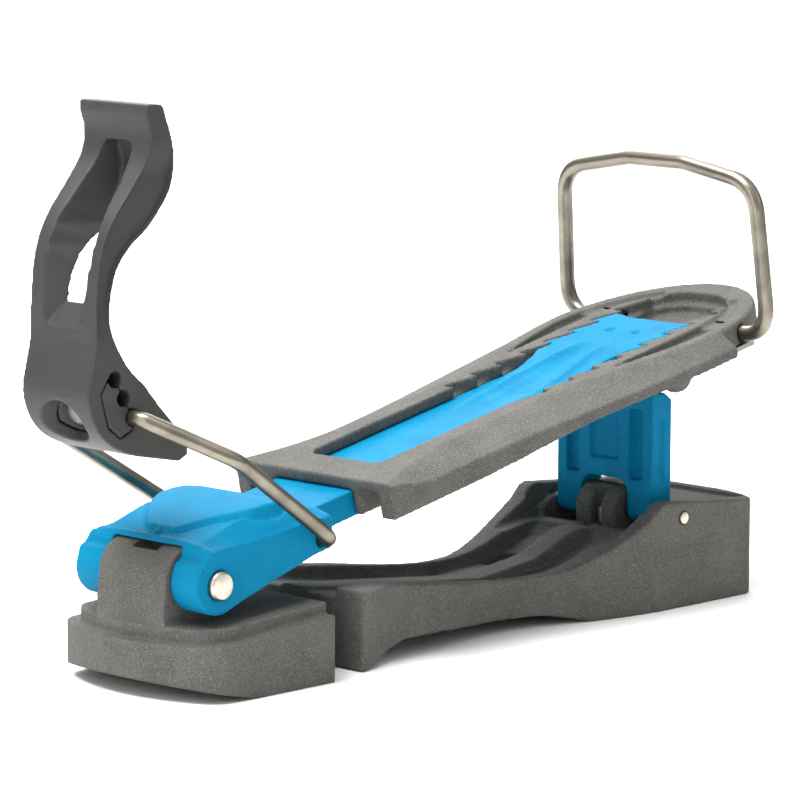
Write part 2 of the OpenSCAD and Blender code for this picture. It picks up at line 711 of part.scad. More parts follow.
module lever_bolt() color(steel_col)
    on_bolt() {
        cylinder(h = 14.5, r = 2.1);
        intersection() {
            translate([0, 0, -2.4])
                cylinder(h = 2.4, r = bolt_head_r);
            translate([0, 0, 3.2])
                sphere(r = 6);
        }
    }

module lever_nut() color(steel_col)
    on_bolt()
        difference() {
            translate([-3.5, -3.5, 10])
                cube([7, 7, 3]);
            cylinder(h = 20, r = 2.1);
        }

toe_base();
length_screw();
length_nut();
base_strap();
strap_screws();
heel_base();
riser_pin();
riser_spring();
heel_riser();
toe_pin();
toe_yoke();
tray();
rail_cover();
cover_screws();
bail_keeper();
keeper_screws();
heel_bail();
toe_bail();
toe_lever();
lever_clamp();
lever_bolt();
lever_nut();
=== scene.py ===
"""Touring adapter binding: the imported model's pieces get moulded, bent and machined finishes."""
import json
import logging
import math
from dataclasses import dataclass
from enum import Enum
from typing import Callable, Optional

import bmesh
import bpy
import numpy as np
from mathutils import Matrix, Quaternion, Vector

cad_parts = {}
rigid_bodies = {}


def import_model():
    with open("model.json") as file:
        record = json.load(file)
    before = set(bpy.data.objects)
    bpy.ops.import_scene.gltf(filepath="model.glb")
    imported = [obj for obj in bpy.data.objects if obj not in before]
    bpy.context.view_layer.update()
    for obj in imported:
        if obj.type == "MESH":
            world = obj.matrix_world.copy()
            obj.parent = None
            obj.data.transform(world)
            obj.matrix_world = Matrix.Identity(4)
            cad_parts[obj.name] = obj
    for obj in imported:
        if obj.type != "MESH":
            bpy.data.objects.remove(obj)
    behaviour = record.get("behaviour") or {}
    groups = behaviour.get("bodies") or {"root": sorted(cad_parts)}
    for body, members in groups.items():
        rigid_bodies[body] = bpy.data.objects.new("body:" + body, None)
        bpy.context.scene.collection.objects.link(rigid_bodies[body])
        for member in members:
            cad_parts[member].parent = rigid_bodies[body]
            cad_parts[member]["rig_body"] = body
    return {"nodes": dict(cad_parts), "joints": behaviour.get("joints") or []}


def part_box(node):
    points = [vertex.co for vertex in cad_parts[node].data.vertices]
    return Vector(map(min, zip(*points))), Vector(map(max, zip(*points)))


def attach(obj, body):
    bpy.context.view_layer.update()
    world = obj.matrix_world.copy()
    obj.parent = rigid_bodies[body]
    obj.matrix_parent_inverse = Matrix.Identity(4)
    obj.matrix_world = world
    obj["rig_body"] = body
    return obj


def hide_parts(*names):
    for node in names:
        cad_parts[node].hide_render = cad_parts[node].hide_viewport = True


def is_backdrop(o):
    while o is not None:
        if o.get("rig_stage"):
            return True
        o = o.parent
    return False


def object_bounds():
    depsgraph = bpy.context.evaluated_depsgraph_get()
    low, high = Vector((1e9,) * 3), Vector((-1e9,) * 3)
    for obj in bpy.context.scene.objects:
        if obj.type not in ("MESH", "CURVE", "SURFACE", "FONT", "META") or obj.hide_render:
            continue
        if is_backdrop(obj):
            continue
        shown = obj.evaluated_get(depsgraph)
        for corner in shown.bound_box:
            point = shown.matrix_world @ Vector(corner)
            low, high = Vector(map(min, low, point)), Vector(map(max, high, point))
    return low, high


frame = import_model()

LOG = logging.getLogger("binding")
MM = 0.001

# Surface marks: heights in millimetres, scales in cycles per millimetre, shares from 0 to 1.
GRAIN_HEIGHT = 0.35
SPECK_TO_GRAIN = 0.75
NYLON_SCUFF_SHARE = 0.35
STREAK_HEIGHT = 0.08
STREAK_STRENGTH = 0.12
STEEL_SCUFF_SCALE = 0.6
STEEL_SCUFF_SHARE = 0.4
WELD_GAP = 0.002


class Slot(Enum):
    """The record's material slots that the pieces take."""

    GREY = "grey_nylon"
    BLUE = "blue_nylon"
    LEVER = "lever_grey"
    WIRE = "wire_steel"
    PIN = "pin_steel"
    SCREW = "screw_steel"
    PLATE = "plate_steel"


def ease(t: np.ndarray) -> np.ndarray:
    """Smooth step from 0 to 1.

    Args:
        t: values, where 0 and below give 0, and 1 and above give 1.

    Returns:
        The eased values.
    """
    u = np.clip(t, 0.0, 1.0)
    return u * u * (3 - 2 * u)


def band(t: np.ndarray, low: float, high: float, soft: float) -> np.ndarray:
    """Window that is 1 between two limits and falls to 0 over a soft width outside them."""
    return ease((t - low) / soft + 1) * ease((high - t) / soft + 1)


# ---- Shader building ----


class ShaderTree:
    """A node tree with short calls for adding and joining its nodes."""

    def __init__(self, tree: bpy.types.NodeTree) -> None:
        self.tree = tree

    def add(self, kind: str, values: Optional[dict] = None, **settings) -> bpy.types.Node:
        """Adds a node.

        Args:
            kind: the node's type name.
            values: input socket names or numbers, with a constant or an output socket for each.
            **settings: properties of the node itself.

        Returns:
            The new node.
        """
        made = self.tree.nodes.new(kind)
        for key, value in settings.items():
            setattr(made, key, value)
        for key, value in (values or {}).items():
            socket = made.inputs[key]
            if isinstance(value, bpy.types.NodeSocket):
                self.tree.links.new(value, socket)
            else:
                socket.default_value = value
        return made

    def noise(self, vector, scale: float, detail: float = 2.0, rough: float = 0.5):
        """Noise value between about 0.2 and 0.8 at a scale in cycles per millimetre."""
        return self.add("ShaderNodeTexNoise", {"Vector": vector, "Scale": scale, "Detail": detail,
                                               "Roughness": rough}).outputs["Fac"]

    def remap(self, value, low: float, high: float, to_low: float = 0.0, to_high: float = 1.0):
        """Value mapped from one range to another and clamped."""
        return self.add("ShaderNodeMapRange", {"Value": value, "From Min": low, "From Max": high,
                                               "To Min": to_low, "To Max": to_high}).outputs["Result"]

    def mix(self, factor, first, second):
        """Colour between two colours."""
        node = self.add("ShaderNodeMix", data_type="RGBA")
        for place, value in ((0, factor), (6, first), (7, second)):
            if isinstance(value, bpy.types.NodeSocket):
                self.tree.links.new(value, node.inputs[place])
            else:
                node.inputs[place].default_value = value
        return node.outputs[2]

    def math(self, operation: str, first, second):
        """Result of a math node."""
        return self.add("ShaderNodeMath", {0: first, 1: second}, operation=operation).outputs[0]


def shader_group(name: str, floats: dict[str, float], outputs: tuple[str, ...],
                 fill: Callable) -> bpy.types.NodeTree:
    """Makes a shader node group.

    Args:
        name: name of the group.
        floats: named number inputs with their defaults; a Vector input comes first.
        outputs: names of the number outputs.
        fill: builds the inside and returns the output sockets in order.

    Returns:
        The group's tree.
    """
    group = bpy.data.node_groups.new(name, "ShaderNodeTree")
    group.interface.new_socket("Vector", in_out="INPUT", socket_type="NodeSocketVector")
    for key, value in floats.items():
        made = group.interface.new_socket(key, in_out="INPUT", socket_type="NodeSocketFloat")
        made.default_value = value
    for key in outputs:
        group.interface.new_socket(key, in_out="OUTPUT", socket_type="NodeSocketFloat")
    inside = ShaderTree(group)
    entry = group.nodes.new("NodeGroupInput")
    leave = group.nodes.new("NodeGroupOutput")
    for place, socket in enumerate(fill(inside, entry.outputs)):
        group.links.new(socket, leave.inputs[place])
    return group


def fill_grain(tree: ShaderTree, entry) -> tuple:
    """Sandy texture of glass-filled nylon: grain height, pale fibre specks and a slow mottle."""
    fine = tree.add("ShaderNodeTexNoise", {"Vector": entry["Vector"], "Scale": entry["Grain"],
                                           "Detail": 3.0, "Roughness": 0.62})
    specks = tree.add("ShaderNodeTexNoise", {"Vector": entry["Vector"], "Scale": entry["Specks"],
                                             "Detail": 1.0, "Roughness": 0.7})
    slow = tree.add("ShaderNodeTexNoise", {"Vector": entry["Vector"], "Scale": entry["Mottle"],
                                           "Detail": 4.0, "Roughness": 0.6})
    mask = tree.remap(specks.outputs["Fac"], 0.53, 0.70)
    return fine.outputs["Fac"], mask, tree.remap(slow.outputs["Fac"], 0.3, 0.7)


def fill_wear(tree: ShaderTree, entry) -> tuple:
    """Handling marks: thin scuffs that run in broken streaks, gathered in patches."""
    bent = tree.add("ShaderNodeTexNoise", {"Vector": entry["Vector"], "Scale": entry["Scuffs"],
                                           "Detail": 6.0, "Roughness": 0.7, "Distortion": 2.2})
    patch = tree.add("ShaderNodeTexNoise", {"Vector": entry["Vector"], "Scale": entry["Patches"],
                                            "Detail": 3.0})
    line = tree.remap(bent.outputs["Fac"], 0.60, 0.68)
    soft = tree.remap(patch.outputs["Fac"], 0.5, 0.72)
    return (tree.math("MULTIPLY", line, soft),)


class Effects:
    """The shader groups that several finishes share."""

    def __init__(self) -> None:
        self.grain = shader_group("moulded_grain", {"Grain": 2.2, "Specks": 1.5, "Mottle": 0.08},
                                  ("Height", "Specks", "Mottle"), fill_grain)
        self.wear = shader_group("handling_wear", {"Scuffs": 0.2, "Patches": 0.03},
                                 ("Scuffs",), fill_wear)


Triple = tuple[float, float, float]
Colour = Triple


def start_material(name: str, turn: Triple, stretch: Triple = (1.0, 1.0, 1.0)):
    """Makes an empty material whose coordinates are millimetres in the model's frame.

    Args:
        name: the material's name.
        turn: rotation of the texture space.
        stretch: scale along each axis.

    Returns:
        The material, its tree, the principled shader and the coordinate socket.
    """
    material = bpy.data.materials.new(name)
    material.use_nodes = True
    material.node_tree.nodes.clear()
    tree = ShaderTree(material.node_tree)
    shader = tree.add("ShaderNodeBsdfPrincipled")
    tree.add("ShaderNodeOutputMaterial", {"Surface": shader.outputs["BSDF"]})
    coords = tree.add("ShaderNodeTexCoord")
    scale = tuple(s / MM for s in stretch)
    place = tree.add("ShaderNodeMapping", {"Vector": coords.outputs["Object"], "Rotation": turn,
                                           "Scale": scale})
    return material, tree, shader, place.outputs["Vector"]


@dataclass(frozen=True)
class Nylon:
    """Grainy moulded plastic.

    Attributes:
        slot: material slot of the record.
        body: main colour.
        deep: colour of the darker mottle.
        speck: colour of the pale specks.
        speck_share: how strongly the specks show.
        grain: cycles of the grain per millimetre.
        depth: strength of the grain's bump.
        rough: roughness of the smoothest and the dullest places.
        specular: strength of the clear reflection.
    """

    slot: Slot
    body: Colour
    deep: Colour
    speck: Colour
    speck_share: float
    grain: float
    depth: float
    rough: tuple[float, float]
    specular: float

    def build(self, effects: Effects) -> bpy.types.Material:
        """Builds the material."""
        material, tree, shader, coords = start_material(self.slot.value, (0.3, 0.2, 0.5))
        grain = tree.add("ShaderNodeGroup", node_tree=effects.grain)
        wear = tree.add("ShaderNodeGroup", node_tree=effects.wear)
        for node in (grain, wear):
            tree.tree.links.new(coords, node.inputs["Vector"])
        grain.inputs["Grain"].default_value = self.grain
        grain.inputs["Specks"].default_value = self.grain * SPECK_TO_GRAIN
        base = tree.mix(grain.outputs["Mottle"], (*self.deep, 1), (*self.body, 1))
        share = tree.math("MULTIPLY", grain.outputs["Specks"], self.speck_share)
        specked = tree.mix(share, base, (*self.speck, 1))
        marks = tree.math("MULTIPLY", wear.outputs["Scuffs"], NYLON_SCUFF_SHARE)
        worn = tree.mix(marks, specked, (*self.speck, 1))
        tree.tree.links.new(worn, shader.inputs["Base Color"])
        rough = tree.remap(grain.outputs["Height"], 0.3, 0.7, *self.rough)
        tree.tree.links.new(rough, shader.inputs["Roughness"])
        bump = tree.add("ShaderNodeBump", {"Height": grain.outputs["Height"],
                                           "Strength": self.depth, "Distance": GRAIN_HEIGHT * MM})
        tree.tree.links.new(bump.outputs["Normal"], shader.inputs["Normal"])
        shader.inputs["Specular IOR Level"].default_value = self.specular
        return material


@dataclass(frozen=True)
class Steel:
    """Satin steel with fine drawn or turned marks.

    Attributes:
        slot: material slot of the record.
        body: main colour.
        dull: colour of the duller patches.
        marks: stretch of the fine marks along each axis.
        rough: roughness of the brightest and the dullest places.
    """

    slot: Slot
    body: Colour
    dull: Colour
    marks: Triple
    rough: tuple[float, float]

    def build(self, effects: Effects) -> bpy.types.Material:
        """Builds the material."""
        material, tree, shader, coords = start_material(self.slot.value, (0.0, 0.0, 0.0), self.marks)
        wear = tree.add("ShaderNodeGroup", node_tree=effects.wear)
        tree.tree.links.new(coords, wear.inputs["Vector"])
        wear.inputs["Scuffs"].default_value = STEEL_SCUFF_SCALE
        streak = tree.noise(coords, 3.0, 4.0, 0.6)
        cloud = tree.noise(coords, 0.12, 3.0)
        tone = tree.mix(tree.remap(cloud, 0.35, 0.65), (*self.dull, 1), (*self.body, 1))
        marks = tree.math("MULTIPLY", wear.outputs["Scuffs"], STEEL_SCUFF_SHARE)
        toned = tree.mix(marks, tone, (*self.dull, 1))
        tree.tree.links.new(toned, shader.inputs["Base Color"])
        tree.tree.links.new(tree.remap(streak, 0.3, 0.7, *self.rough), shader.inputs["Roughness"])
        bump = tree.add("ShaderNodeBump", {"Height": streak, "Strength": STREAK_STRENGTH,
                                           "Distance": STREAK_HEIGHT * MM})
        tree.tree.links.new(bump.outputs["Normal"], shader.inputs["Normal"])
        shader.inputs["Metallic"].default_value = 1.0
        return material


FINISHES = (
    Nylon(Slot.GREY, body=(0.100, 0.098, 0.090), deep=(0.070, 0.069, 0.064), speck=(0.225, 0.22, 0.205),
          speck_share=0.75, grain=3.4, depth=0.85, rough=(0.66, 0.92), specular=0.25),
    Nylon(Slot.BLUE, body=(0.0, 0.180, 0.335), deep=(0.0, 0.140, 0.280), speck=(0.0, 0.26, 0.45),
          speck_share=0.6, grain=3.0, depth=0.45, rough=(0.55, 0.78), specular=0.08),
    Nylon(Slot.LEVER, body=(0.034, 0.035, 0.032), deep=(0.028, 0.029, 0.027), speck=(0.054, 0.055, 0.051),
          speck_share=0.3, grain=4.0, depth=0.2, rough=(0.42, 0.56), specular=0.28),
    Steel(Slot.WIRE, body=(0.26, 0.24, 0.19), dull=(0.16, 0.145, 0.12), marks=(1.0, 0.35, 1.0),
          rough=(0.26, 0.42)),
    Steel(Slot.PIN, body=(0.62, 0.57, 0.49), dull=(0.42, 0.38, 0.32), marks=(1.6, 0.3, 1.6),
          rough=(0.24, 0.42)),
    Steel(Slot.SCREW, body=(0.16, 0.16, 0.155), dull=(0.10, 0.10, 0.098), marks=(1.0, 1.0, 1.0),
          rough=(0.38, 0.55)),
    Steel(Slot.PLATE, body=(0.36, 0.36, 0.35), dull=(0.24, 0.24, 0.235), marks=(0.3, 1.4, 1.4),
          rough=(0.36, 0.55)),
)


# ---- Mesh building ----


def merged_copy(node: str, name: str) -> bpy.types.Object:
    """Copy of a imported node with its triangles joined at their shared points."""
    source = frame["nodes"][node]
    mesh = source.data.copy()
    mesh.name = name
    work = bmesh.new()
    work.from_mesh(mesh)
    bmesh.ops.remove_doubles(work, verts=work.verts, dist=WELD_GAP * MM)
    bmesh.ops.recalc_face_normals(work, faces=work.faces)
    work.to_mesh(mesh)
    work.free()
    made = bpy.data.objects.new(name, mesh)
    bpy.context.scene.collection.objects.link(made)
    return made


def bake_modifiers(obj: bpy.types.Object) -> None:
    """Turns an object's modifiers into its plain mesh and removes them."""
    graph = bpy.context.evaluated_depsgraph_get()
    mesh = bpy.data.meshes.new_from_object(obj.evaluated_get(graph), depsgraph=graph)
    obj.modifiers.clear()
    obj.data = mesh
    mesh.name = obj.name


def finish_piece(obj: bpy.types.Object, material: bpy.types.Material, node: str) -> None:
    """Gives a finished piece its material and puts it on its node's body."""
    obj.data.materials.clear()
    obj.data.materials.append(material)
    obj.data.polygons.foreach_set("material_index", [0] * len(obj.data.polygons))
    obj.data.update()
    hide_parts(node)
    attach(obj, frame["nodes"][node]["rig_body"])
    LOG.info("%s: %d faces", obj.name, len(obj.data.polygons))


@dataclass
class Moulding:
    """A moulded piece: softened edges, blended corners and sculpted surface detail.

    Attributes:
        node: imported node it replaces.
        slot: finish.
        grid: size of the surface grid in millimetres.
        passes: smoothing passes.
        sculpt: moves the points, given in millimetres with their normals.
    """

    node: str
    slot: Slot
    grid: float
    passes: int
    sculpt: Optional[Callable[[np.ndarray, np.ndarray], None]] = None

    def build(self, materials: dict[Slot, bpy.types.Material]) -> None:
        """Builds the piece and hides its node."""
        made = merged_copy(self.node, f"{self.node}_moulded")
        skin = made.modifiers.new("skin", "REMESH")
        skin.mode = "VOXEL"
        skin.voxel_size = self.grid * MM
        skin.use_smooth_shade = True
        soft = made.modifiers.new("soft", "SMOOTH")
        soft.factor = 0.5
        soft.iterations = self.passes
        bake_modifiers(made)
        self.shape(made.data)
        finish_piece(made, materials[self.slot], self.node)

    def shape(self, mesh: bpy.types.Mesh) -> None:
        """Sculpts the surface and keeps every point inside the node's box."""
        count = len(mesh.vertices)
        points = np.empty(count * 3, np.float32)
        normals = np.empty(count * 3, np.float32)
        mesh.vertices.foreach_get("co", points)
        mesh.vertex_normals.foreach_get("vector", normals)
        points = points.reshape(-1, 3) / MM
        if self.sculpt:
            self.sculpt(points, normals.reshape(-1, 3))
        low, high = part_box(self.node)
        points = np.clip(points * MM, np.array(low, np.float32), np.array(high, np.float32))
        mesh.vertices.foreach_set("co", points.reshape(-1))


@dataclass
class Machined:
    """A metal piece with its edges broken by a small chamfer.

    Attributes:
        node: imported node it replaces.
        slot: finish.
        edge: width of the chamfer in millimetres.
        sharp: angle in degrees from which an edge counts as sharp.
    """

    node: str
    slot: Slot
    edge: float
    sharp: float = 35.0

    def build(self, materials: dict[Slot, bpy.types.Material]) -> None:
        """Builds the piece and hides its node."""
        made = merged_copy(self.node, f"{self.node}_machined")
        bevel = made.modifiers.new("edges", "BEVEL")
        bevel.width = self.edge * MM
        bevel.segments = 2
        bevel.limit_method = "ANGLE"
        bevel.angle_limit = math.radians(self.sharp)
        bevel.use_clamp_overlap = True
        bake_modifiers(made)
        made.data.polygons.foreach_set("use_smooth", [True] * len(made.data.polygons))
        made.data.set_sharp_from_angle(angle=math.radians(self.sharp))
        finish_piece(made, materials[self.slot], self.node)


def wire_tree(material: bpy.types.Material) -> bpy.types.NodeTree:
    """Geometry nodes that sweep a round wire along a drawn path."""
    tree = bpy.data.node_groups.new("bent_wire", "GeometryNodeTree")
    tree.interface.new_socket("Path", in_out="INPUT", socket_type="NodeSocketGeometry")
    radius = tree.interface.new_socket("Wire Radius", in_out="INPUT", socket_type="NodeSocketFloat")
    radius.default_value = 2.5 * MM
    tree.interface.new_socket("Wire", in_out="OUTPUT", socket_type="NodeSocketGeometry")
    entry = tree.nodes.new("NodeGroupInput")
    curve = tree.nodes.new("GeometryNodeMeshToCurve")
    ring = tree.nodes.new("GeometryNodeCurvePrimitiveCircle")
    ring.inputs["Resolution"].default_value = 32
    sweep = tree.nodes.new("GeometryNodeCurveToMesh")
    sweep.inputs["Fill Caps"].default_value = True
    weld = tree.nodes.new("GeometryNodeMergeByDistance")
    weld.inputs["Distance"].default_value = 0.001 * MM
    smooth = tree.nodes.new("GeometryNodeSetShadeSmooth")
    real = tree.nodes.new("GeometryNodeRealizeInstances")
    paint = tree.nodes.new("GeometryNodeSetMaterial")
    paint.inputs["Material"].default_value = material
    leave = tree.nodes.new("NodeGroupOutput")
    link = tree.links.new
    link(entry.outputs["Path"], curve.inputs["Mesh"])
    link(entry.outputs["Wire Radius"], ring.inputs["Radius"])
    link(curve.outputs["Curve"], sweep.inputs["Curve"])
    link(ring.outputs["Curve"], sweep.inputs["Profile Curve"])
    link(sweep.outputs["Mesh"], weld.inputs["Geometry"])
    link(weld.outputs["Geometry"], smooth.inputs["Geometry"])
    link(smooth.outputs["Geometry"], real.inputs["Geometry"])
    link(real.outputs["Geometry"], paint.inputs["Geometry"])
    link(paint.outputs["Geometry"], leave.inputs["Wire"])
    return tree


def rounded(path: list[Vector], radius: float, steps: int = 14) -> list[Vector]:
    """Path with each inner corner rounded.

    Args:
        path: corner points in millimetres.
        radius: bend radius.
        steps: points in each bend.

    Returns:
        The points of the rounded path.
    """
    out = [path[0]]
    for before, here, after in zip(path, path[1:], path[2:]):
        one, two = before - here, after - here
        angle = one.angle(two)
        reach = min(radius / math.tan(angle / 2), one.length * 0.45, two.length * 0.45)
        start, end = here + one.normalized() * reach, here + two.normalized() * reach
        for k in range(steps + 1):
            w = k / steps
            out.append(start * (1 - w) ** 2 + here * (2 * w * (1 - w)) + end * w * w)
    out.append(path[-1])
    return out


@dataclass
class BentWire:
    """A bail of round wire, bent in one plane about its pivot.

    Attributes:
        node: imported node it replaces.
        joint: joint whose axis is the pivot.
        radius: wire radius.
        bend: radius of its bends.
        corners: half of the bail as (along, across) points, from the end of one leg to the middle.
        along: direction of the bail's plane away from the pivot, as (x, z).
    """

    node: str
    joint: str
    radius: float
    bend: float
    corners: list[tuple[float, float]]
    along: tuple[float, float]

    def build(self, materials: dict[Slot, bpy.types.Material], tree: bpy.types.NodeTree) -> None:
        """Builds the bail and hides its node."""
        pivot = next(j["pos_m"] for j in frame["joints"] if j["name"] == self.joint)
        half = [Vector((u, v)) for u, v in self.corners]
        whole = half + [Vector((p.x, -p.y)) for p in reversed(half) if p.y > 0]
        points = [Vector((pivot[0] + p.x * self.along[0] * MM, p.y * MM, pivot[2] + p.x * self.along[1] * MM))
                  for p in rounded(whole, self.bend)]
        mesh = bpy.data.meshes.new(f"{self.node}_bent")
        mesh.from_pydata(points, [(k, k + 1) for k in range(len(points) - 1)], [])
        made = bpy.data.objects.new(mesh.name, mesh)
        bpy.context.scene.collection.objects.link(made)
        sweep = made.modifiers.new("wire", "NODES")
        sweep.node_group = tree
        names = {s.name: s.identifier for s in tree.interface.items_tree if s.in_out == "INPUT"}
        sweep[names["Wire Radius"]] = self.radius * MM
        bake_modifiers(made)
        finish_piece(made, materials[Slot.WIRE], self.node)


# ---- Sculpted detail ----


@dataclass(frozen=True)
class TrayFrame:
    """The tray's own directions: along the tray, and square to its top."""

    x: float = 65.5
    z: float = 58.7
    tilt: float = math.radians(11.9)

    def split(self, points: np.ndarray) -> tuple[np.ndarray, np.ndarray]:
        """Distance along the tray and height above its top, in millimetres."""
        dx, dz = points[:, 0] - self.x, points[:, 2] - self.z
        c, s = math.cos(self.tilt), math.sin(self.tilt)
        return dx * c + dz * s, dz * c - dx * s

    def lift(self, points: np.ndarray, amount: np.ndarray) -> None:
        """Moves points square to the tray's top."""
        points[:, 0] -= amount * math.sin(self.tilt)
        points[:, 2] += amount * math.cos(self.tilt)


TRAY = TrayFrame()


@dataclass(frozen=True)
class YokeRelief:
    """Raised boat-shaped panel of the crown, and the rail's ripples and dimples, in millimetres."""

    crown_span: tuple[float, float] = (-1.0, 44.0)
    crown_floor: float = 43.0
    panel_rise: float = 1.3
    panel_half: float = 6.0
    panel_bulge: float = 15.5
    groove_depth: float = 0.8
    groove_width: float = 0.9
    rail_start: float = 60.0
    swell_span: tuple[float, float] = (84.0, 126.0)
    ridge_rise: float = 0.9
    valley_depth: float = 0.7
    dimple_place: tuple[float, float] = (151.0, 5.6)
    dimple_radius: float = 1.6
    dimple_depth: float = 1.1

    def sculpt(self, points: np.ndarray, normals: np.ndarray) -> None:
        """Moves the yoke's points."""
        facing = ease((normals[:, 2] - 0.35) / 0.3)
        self.crown(points, facing)
        self.rail(points, facing)

    def crown(self, points: np.ndarray, facing: np.ndarray) -> None:
        """Lowers the crown around its panel and draws the groove along the panel's edge."""
        x, y, z = points.T
        side = np.abs(y)
        area = band(x, *self.crown_span, 2.0) * facing * (z > self.crown_floor)
        bulge = self.panel_bulge * np.sin(math.pi / 2 * np.clip((x - 1) / 24, 0, 1))
        boat = np.where(x < 1, 0.0, self.panel_half + bulge - self.panel_half * ease((x - 28) / 18))
        points[:, 2] -= self.panel_rise * area * ease((side - boat) / 1.5)
        rim = np.exp(-(((side - boat - 1.2) / self.groove_width) ** 2))
        points[:, 2] -= self.groove_depth * area * rim

    def rail(self, points: np.ndarray, facing: np.ndarray) -> None:
        """Ripples the top of the rail and presses its two dimples."""
        x, y, _ = points.T
        side = np.abs(y)
        s, w = TRAY.split(points)
        top = facing * (w > -6.5) * (x > self.rail_start)
        swell = band(s, *self.swell_span, 16)
        wave = 7.0 + 2.0 * np.sin((s - 75) / 14)
        ridge = np.exp(-(((side - wave) / 1.9) ** 2))
        valley = np.exp(-((y / 3.4) ** 2))
        TRAY.lift(points, top * swell * (self.ridge_rise * ridge - self.valley_depth * valley))
        along, across = self.dimple_place
        apart = ((s - along) / self.dimple_radius) ** 2 + ((side - across) / self.dimple_radius) ** 2
        TRAY.lift(points, -self.dimple_depth * top * np.exp(-(apart ** 1.5)))


@dataclass(frozen=True)
class TrayRelief:
    """Slight sag and swell of the moulded rim, in millimetres."""

    sag: float = 0.12
    wave: float = 9.0

    def sculpt(self, points: np.ndarray, normals: np.ndarray) -> None:
        """Moves the tray's points."""
        s, w = TRAY.split(points)
        top = ease((normals[:, 2] - 0.6) / 0.25) * (w > -1.5)
        TRAY.lift(points, -self.sag * top * (0.5 + 0.5 * np.sin(s / self.wave)))


@dataclass(frozen=True)
class HeelRelief:
    """Gentle crown of the hump ahead of the riser, in millimetres."""

    place: float = 182.0
    half_size: tuple[float, float] = (10.0, 12.0)
    rise: float = 1.2
    floor: float = 16.0

    def sculpt(self, points: np.ndarray, normals: np.ndarray) -> None:
        """Moves the heel base's points."""
        x, y, z = points.T
        along, across = self.half_size
        facing = ease((normals[:, 2] - 0.3) / 0.3)
        hump = np.exp(-(((x - self.place) / along) ** 2 + (y / across) ** 2))
        points[:, 2] += self.rise * facing * hump * (z > self.floor)


@dataclass(frozen=True)
class ToeRelief:
    """Soft flute at the foot of the tower, in millimetres."""

    height: float = 23.5
    width: float = 2.2
    depth: float = 0.5
    half: float = 15.2
    front: float = -8.0

    def sculpt(self, points: np.ndarray, normals: np.ndarray) -> None:
        """Moves the toe base's points."""
        x, y, z = points.T
        flute = np.exp(-(((z - self.height) / self.width) ** 2)) * (np.abs(y) < self.half) * (x < self.front)
        points[:, 0] += self.depth * flute


@dataclass(frozen=True)
class LeverRelief:
    """Hollowed flanks of the grip, in millimetres."""

    span: tuple[float, float] = (122.0, 158.0)
    depth: float = 1.5
    inner: float = 12.0

    def sculpt(self, points: np.ndarray, normals: np.ndarray) -> None:
        """Moves the lever's points."""
        _, y, z = points.T
        flank = ease((np.abs(normals[:, 1]) - 0.7) / 0.2) * band(z, *self.span, 12)
        points[:, 1] -= np.sign(y) * self.depth * flank * (np.abs(y) > self.inner)


# ---- Studio ----


@dataclass(frozen=True)
class Lamp:
    """A square soft lamp.

    Attributes:
        name: the lamp's name.
        place: where it hangs, in metres.
        size: side of the square in metres.
        power: watts.
        target: what it points at; by default the middle of the binding.
    """

    name: str
    place: Triple
    size: float
    power: float
    target: Triple = (0.11, 0.0, 0.06)

    def build(self) -> None:
        """Hangs the lamp and aims it."""
        data = bpy.data.lights.new(self.name, "AREA")
        data.size = self.size
        data.energy = self.power
        made = bpy.data.objects.new(self.name, data)
        bpy.context.scene.collection.objects.link(made)
        made.location = self.place
        aim = Vector(self.target) - Vector(self.place)
        made.rotation_mode = "QUATERNION"
        made.rotation_quaternion = aim.to_track_quat("-Z", "Y")
        made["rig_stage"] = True


LAMPS = (
    Lamp("key", (-0.35, 0.15, 1.35), size=0.9, power=42.0),
    Lamp("front", (-1.35, -0.35, 0.55), size=0.8, power=4.6),
    Lamp("side", (0.7, -1.2, 0.6), size=0.6, power=1.2),
    Lamp("back", (0.6, 1.1, 0.9), size=0.8, power=5.0),
    Lamp("far_floor", (2.6, 2.7, 2.2), size=3.0, power=160.0, target=(2.6, 2.7, 0.0)),
)


